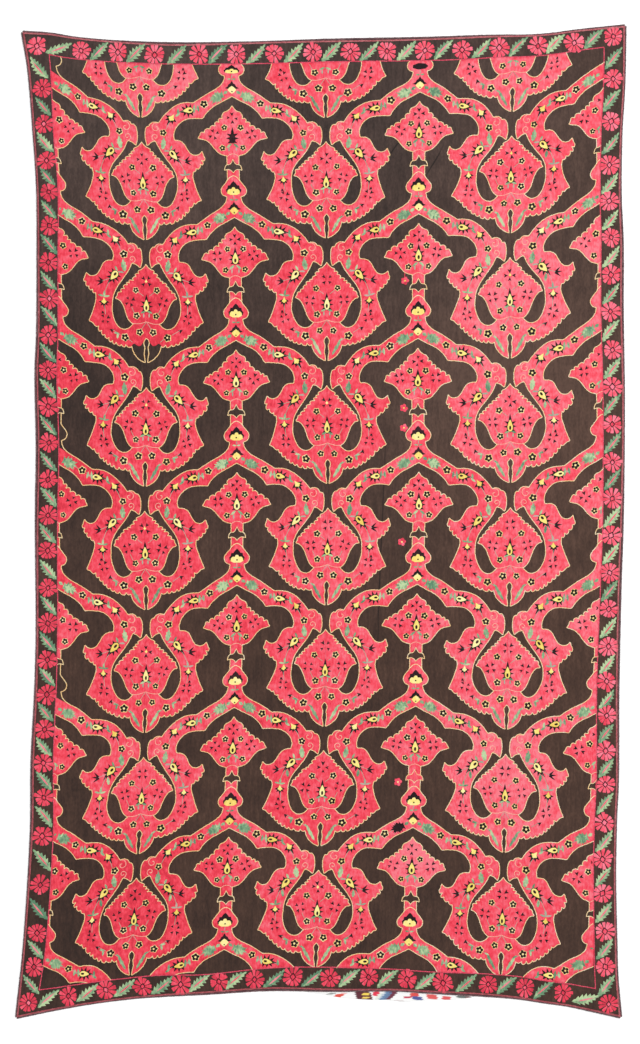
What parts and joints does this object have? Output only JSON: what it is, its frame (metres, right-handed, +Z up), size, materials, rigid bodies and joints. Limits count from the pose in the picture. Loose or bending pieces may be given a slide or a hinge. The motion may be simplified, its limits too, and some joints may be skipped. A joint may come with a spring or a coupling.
{
  "type": "embroidered lattice rug",
  "caption": "Large flat embroidered floor or bed cover with a pomegranate lattice, flower border, cotton lining and braid-sewn edges.",
  "frame": {"origin": "middle of the underside, where the lining lies on the floor", "axes": "+Z up out of the embroidered face, +Y along the length towards the head edge, +X across to the right"},
  "size_m": [1.5393, 2.5042, 0.0056],
  "materials": {
    "ground_cloth": "matt brown-black cotton cloth",
    "lining_cloth": "white printed cotton with soft-edged coloured blots",
    "edge_braid": "narrow dark maroon braid",
    "pink_silk": "laid and couched silk, soft lustre",
    "red_silk": "chain-stitched silk, soft lustre",
    "cream_silk": "chain-stitched silk, soft lustre",
    "yellow_silk": "laid silk, soft lustre",
    "green_silk": "laid silk, soft lustre",
    "black_silk": "laid silk, soft lustre"
  },
  "bodies": {
    "root": {"face": "ground_cloth", "lining": "lining_cloth", "braid_foot": "edge_braid", "braid_right": "edge_braid", "braid_head": "edge_braid", "braid_left": "edge_braid"}
  },
  "joints": []
}
